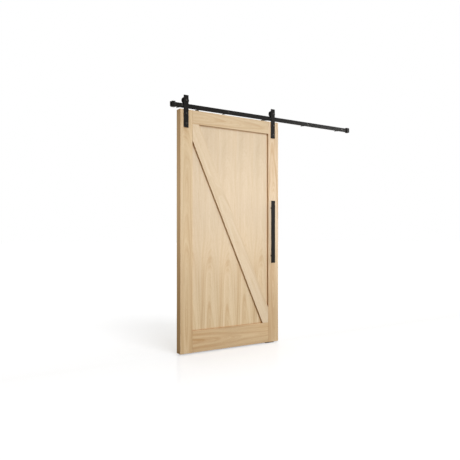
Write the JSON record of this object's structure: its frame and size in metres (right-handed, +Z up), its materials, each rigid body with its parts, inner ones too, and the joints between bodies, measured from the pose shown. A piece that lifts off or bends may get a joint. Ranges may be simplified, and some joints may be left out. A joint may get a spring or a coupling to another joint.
{
  "type": "sliding barn door",
  "caption": "Framed timber barn door with a diagonal brace, hung by strap hangers and grooved wheels from a flat wall track with end stops, with a long bar pull and a floor guide.",
  "frame": {"origin": "on the axis of the middle lag bolt, in the plane of the wall that the standoffs stand on", "axes": "+X along the track to the right, +Y into the wall, +Z up"},
  "size_m": [2.134, 0.153, 2.2678],
  "materials": {
    "oak_frame": "clear matt lacquer on pale oak",
    "oak_panel": "clear matt lacquer on pale oak veneer",
    "black_steel": "matt black powder coat",
    "black_fasteners": "black oxide with a satin sheen",
    "bearing_steel": "ground steel",
    "bumper_rubber": "matt black rubber",
    "black_nylon": "matt black nylon"
  },
  "bodies": {
    "track": {"track_rail": "black_steel", "track_standoff_1": "black_steel", "track_standoff_2": "black_steel", "track_standoff_3": "black_steel", "track_standoff_4": "black_steel", "track_standoff_5": "black_steel", "lag_bolt_1": "black_fasteners", "lag_bolt_2": "black_fasteners", "lag_bolt_3": "black_fasteners", "lag_bolt_4": "black_fasteners", "lag_bolt_5": "black_fasteners", "lag_washers": "black_fasteners", "end_stop_left": "black_steel", "end_stop_right": "black_steel", "end_stop_bumper_left": "bumper_rubber", "end_stop_bumper_right": "bumper_rubber", "end_stop_screws": "black_fasteners", "floor_guide": "black_steel"},
    "door": {"door_panel": "oak_panel", "stile_left": "oak_frame", "stile_right": "oak_frame", "top_rail": "oak_frame", "bottom_rail": "oak_frame", "front_brace": "oak_frame", "back_brace": "oak_frame", "hanger_strap_left": "black_steel", "hanger_strap_right": "black_steel", "hanger_bolts_left": "black_fasteners", "hanger_bolts_right": "black_fasteners", "barrel_nuts_left": "black_fasteners", "barrel_nuts_right": "black_fasteners", "axle_bolt_left": "black_fasteners", "axle_bolt_right": "black_fasteners", "axle_spacers_left": "black_fasteners", "axle_spacers_right": "black_fasteners", "axle_nut_left": "black_fasteners", "axle_nut_right": "black_fasteners", "bearing_inner_left": "bearing_steel", "bearing_inner_right": "bearing_steel", "anti_jump_disc_left": "black_nylon", "anti_jump_disc_right": "black_nylon", "anti_jump_screws": "black_fasteners", "pull_bar": "black_steel", "pull_post_upper": "black_steel", "pull_post_lower": "black_steel", "pull_screws": "black_fasteners"},
    "wheel_left": {"bearing_outer_left": "bearing_steel", "bearing_balls_left": "bearing_steel", "bearing_shields_left": "black_fasteners", "bearing_circlip_left": "black_fasteners", "wheel_left": "black_steel"},
    "wheel_right": {"bearing_outer_right": "bearing_steel", "bearing_balls_right": "bearing_steel", "bearing_shields_right": "black_fasteners", "bearing_circlip_right": "black_fasteners", "wheel_right": "black_steel"}
  },
  "joints": [
    {"name": "door_slide", "type": "slide", "parent": "track", "child": "door", "axis": [1, 0, 0], "range_m": [-0.074, 0.972]},
    {"name": "wheel_left_roll", "type": "hinge", "parent": "door", "child": "wheel_left", "pos_m": [-0.921, -0.064, 0.0468], "axis": [0, 1, 0], "continuous": true},
    {"name": "wheel_right_roll", "type": "hinge", "parent": "door", "child": "wheel_right", "pos_m": [0.023, -0.064, 0.0468], "axis": [0, 1, 0], "continuous": true}
  ],
  "couplings": [
    {"joint": "wheel_left_roll", "follows": "door_slide", "rad_per_m": 37.736},
    {"joint": "wheel_right_roll", "follows": "door_slide", "rad_per_m": 37.736}
  ]
}
